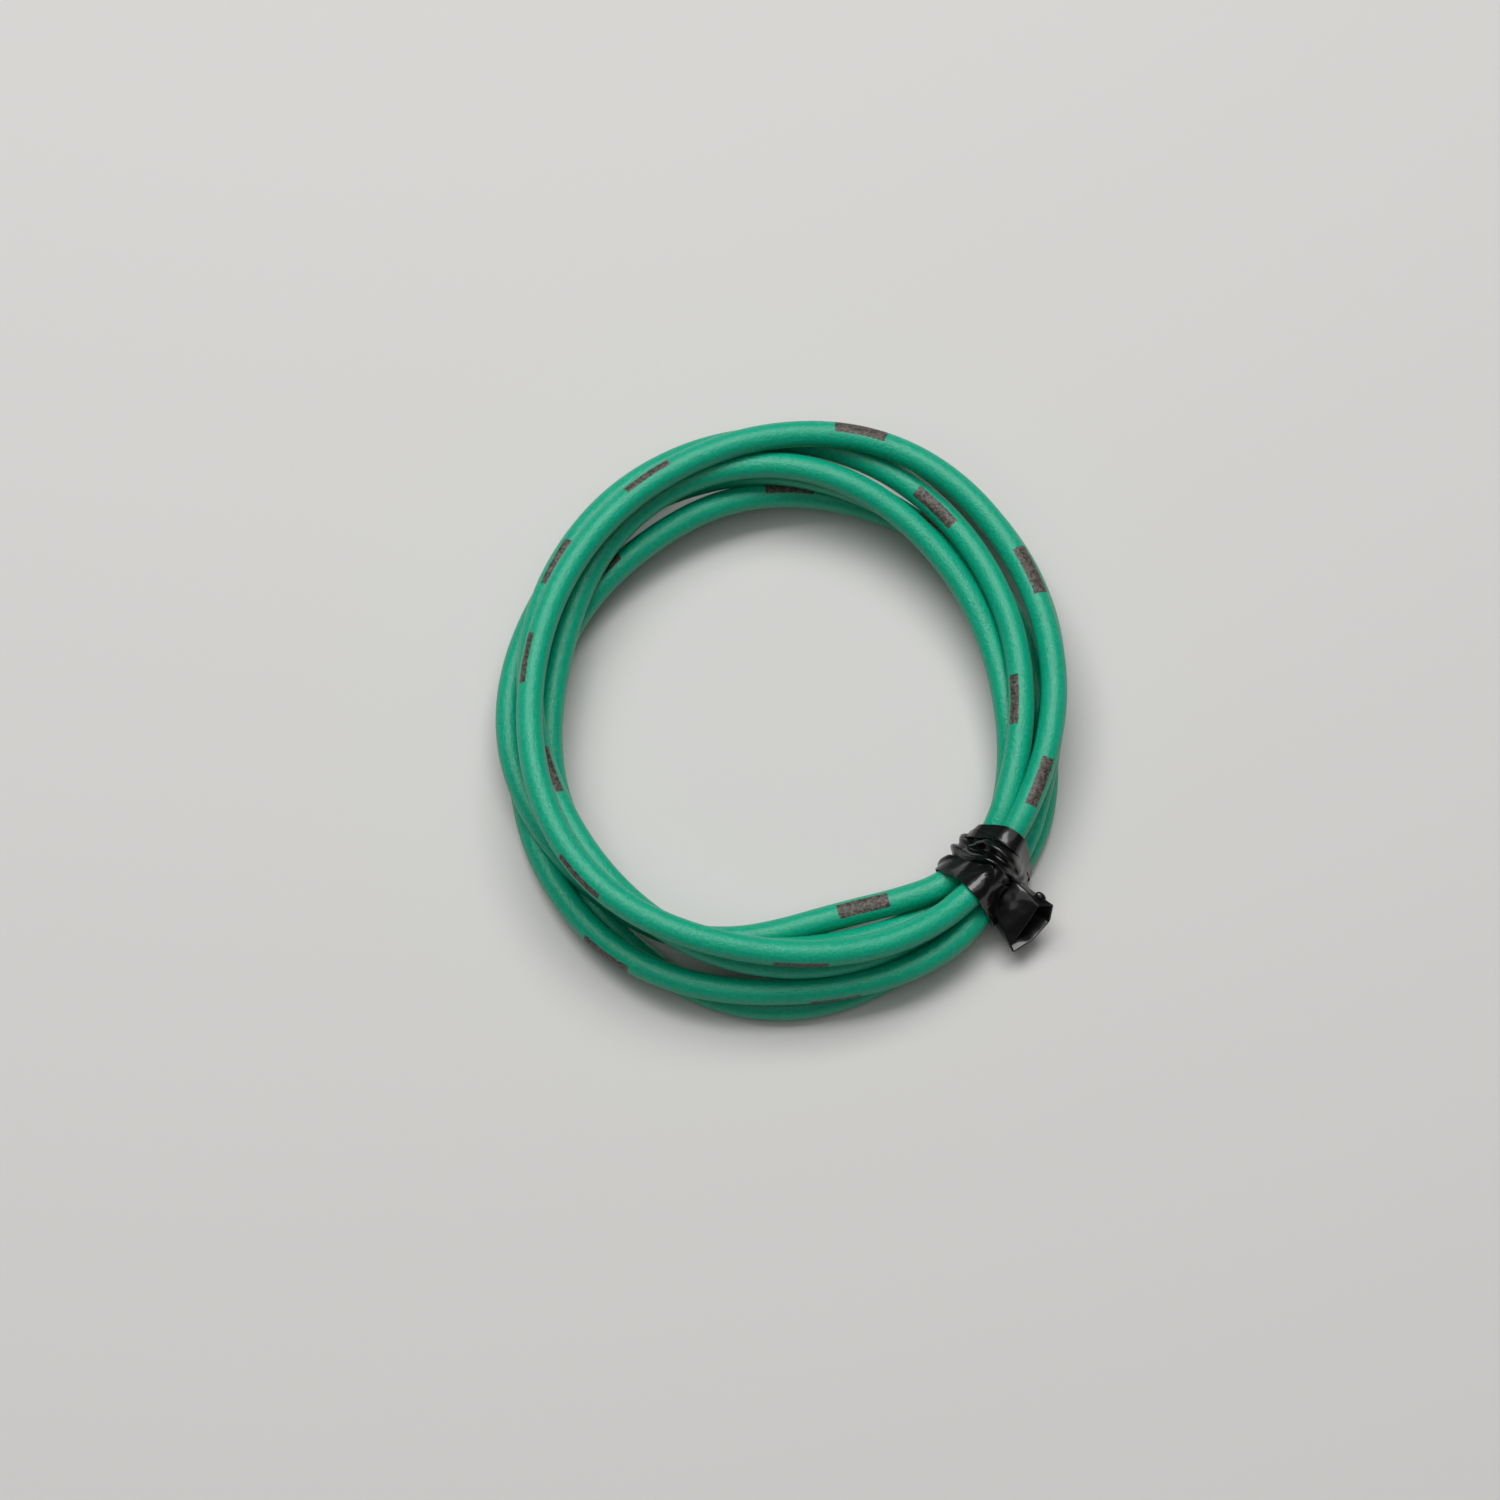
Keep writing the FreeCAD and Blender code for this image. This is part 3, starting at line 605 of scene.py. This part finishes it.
def doubled_end():
    """The strip's doubled end as a pocket, open at its outer edge. Each outline runs round the pocket:
    over the top layer from the front to the back, and back along the bottom layer, from a root at the wrap
    to the mouth. Halfway, the top layer swells by 0.35 and the bottom layer by 0.25, and at the mouth the
    top sags by 0.25."""
    root = np.array([(2.3, -3.2, 3.9), (2.3, -1.6, 5.0), (2.2, 0.3, 5.6), (2.6, 0.8, 4.8), (2.4, -0.6, 2.9),
                     (2.3, -2.4, 2.1), (2.3, -3.4, 2.8)])
    mouth = np.array([(5.9, -4.5, 3.3), (5.9, -2.5, 4.3), (5.8, -0.2, 5.7), (6.8, 1.0, 5.0),
                      (7.3, 0.1, 2.8), (7.2, -2.4, 2.6), (6.5, -4.8, 2.7)])
    corner_numbers = range(len(root) + 1)
    u = np.linspace(0, len(root), 20 * len(root), endpoint=False)
    rings = []
    for share in np.linspace(0, 1, 40):
        corners = root * (1 - share) + mouth * share
        corners[:3, 2] += 0.35 * math.sin(math.pi * share) - 0.25 * share
        corners[4:6, 2] -= 0.25 * math.sin(math.pi * share)
        ring = np.stack([np.interp(u, corner_numbers, [*values, values[0]]) for values in corners.T], 1)
        for _ in range(5):
            ring = 0.5 * ring + 0.25 * (np.roll(ring, 1, axis=0) + np.roll(ring, -1, axis=0))
        rings.append(ring)
    places = np.array(rings)
    places[..., 2] += 0.1 * waves(places, 2.4, 9.0)
    obj = grid_mesh("doubled_end", strip_place(*np.moveaxis(places, -1, 0)))
    add_thickness(obj, 0.14)
    return obj


strip_pieces.append(doubled_end())

# A small knob of film at the back corner of the pocket.
bpy.ops.mesh.primitive_uv_sphere_add(segments=32, ring_count=20, radius=0.42 * MM)
knob = bpy.context.object
knob.name = "knob"
knob.location = strip_place(5.35, 0.75, 5.35)
knob.scale = (1.5, 1.0, 0.9)
knob.rotation_euler = (0.0, 0.35, TIE_ANGLE)
bpy.ops.object.transform_apply(location=True)
bpy.ops.object.shade_smooth()
strip_pieces.append(knob)

# Glossy black vinyl, a rolled film stretched by hand: near black, with a grey sheen that small stretch marks
# break up. They are given in marks to a millimetre.
STRETCH_MARKS = 0.42

vinyl, surface = new_material("glossy black vinyl")
spot = add_node(vinyl, "ShaderNodeTexCoord")["Object"]
fine = add_node(vinyl, "ShaderNodeTexNoise", {"Vector": spot, "Scale": STRETCH_MARKS / MM, "Detail": 3.0,
                                              "Distortion": 0.5})[0]
set_inputs(vinyl, surface, {
    "Base Color": linear("050506"),
    "Roughness": add_node(vinyl, "ShaderNodeMath", {0: fine, 1: 0.3, 2: 0.17}, operation="MULTIPLY_ADD")[0],
    "Normal": add_node(vinyl, "ShaderNodeBump", {"Height": fine, "Strength": 0.3, "Distance": 0.1 * MM})[0],
    "Specular IOR Level": 0.32,
    "Coat Weight": 0.45,
    "Coat Roughness": 0.1,
})
for piece in strip_pieces:
    piece.data.materials.append(vinyl)
    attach(piece, "root")
    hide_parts("tie_strip")


# Stage: a pale plain tabletop under soft light from above and behind, seen from 70 degrees up. Far out the
# tabletop fades into the colour of the wall behind it.

WALL_COLOUR = linear("CACAC9")
FADE_START, FADE_END = 0.15, 0.6

bpy.ops.mesh.primitive_plane_add(size=6, location=(0, 0, 0))
floor = bpy.context.object
floor.name = "floor"
card, surface = new_material("pale grey card")
set_inputs(card, surface, {"Base Color": linear("C8C7C5"), "Roughness": 0.9, "Specular IOR Level": 0.1})
spot = add_node(card, "ShaderNodeTexCoord")["Object"]
far = add_node(card, "ShaderNodeVectorMath", {0: spot}, operation="LENGTH")["Value"]
far = add_node(card, "ShaderNodeMapRange", {0: far, 1: FADE_START, 2: FADE_END},
               interpolation_type="SMOOTHSTEP")[0]
wall = add_node(card, "ShaderNodeEmission", {"Color": WALL_COLOUR, "Strength": 1.0})[0]
faded = add_node(card, "ShaderNodeMixShader", {0: far, 1: surface.outputs[0], 2: wall})[0]
set_inputs(card, card.node_tree.nodes["Material Output"], {"Surface": faded})
floor.data.materials.append(card)

world = bpy.data.worlds.new("studio")
bpy.context.scene.world = world
world.use_nodes = True
light = world.node_tree.nodes["Background"]
set_inputs(world, light, {"Color": (1.0, 0.99, 0.98, 1), "Strength": 0.07})
backdrop = add_node(world, "ShaderNodeBackground", {"Color": WALL_COLOUR, "Strength": 1.0})[0]
rays = add_node(world, "ShaderNodeLightPath")
seen = add_node(world, "ShaderNodeMath", {0: rays["Is Camera Ray"], 1: rays["Is Transmission Ray"]},
                operation="MAXIMUM")[0]
joined = add_node(world, "ShaderNodeMixShader", {0: seen, 1: light.outputs[0], 2: backdrop})[0]
set_inputs(world, world.node_tree.nodes["World Output"], {"Surface": joined})


def softbox(name, place, aim, width, height, watts):
    """Rectangular soft light at a place, turned to an aim point."""
    data = bpy.data.lights.new(name, "AREA")
    data.shape = "RECTANGLE"
    data.size, data.size_y, data.energy = width, height, watts
    lamp = bpy.data.objects.new(name, data)
    lamp.location = place
    lamp.rotation_euler = (Vector(aim) - Vector(place)).to_track_quat("-Z", "Y").to_euler()
    bpy.context.collection.objects.link(lamp)


softbox("overhead light", (-0.05, 0.25, 0.6), (0, 0, 0), width=0.6, height=0.32, watts=3.9)
softbox("ceiling light", (-0.04, 0.0, 1.0), (0, 0, 0), width=1.3, height=1.1, watts=4.3)

VIEW_ELEVATION = 70
VIEW_FROM = np.array([-3.32, -128.51, 344.59])

camera = bpy.data.cameras.new("camera")
camera.lens = 85
camera.sensor_width = 36
viewer = bpy.data.objects.new("camera", camera)
viewer.location = VIEW_FROM * MM + CENTRING * MM
viewer.rotation_euler = Euler((math.radians(90 - VIEW_ELEVATION), 0, 0))
bpy.context.collection.objects.link(viewer)
scene = bpy.context.scene
scene.camera = viewer
scene.render.resolution_x = scene.render.resolution_y = 1500
scene.view_settings.view_transform = "Standard"
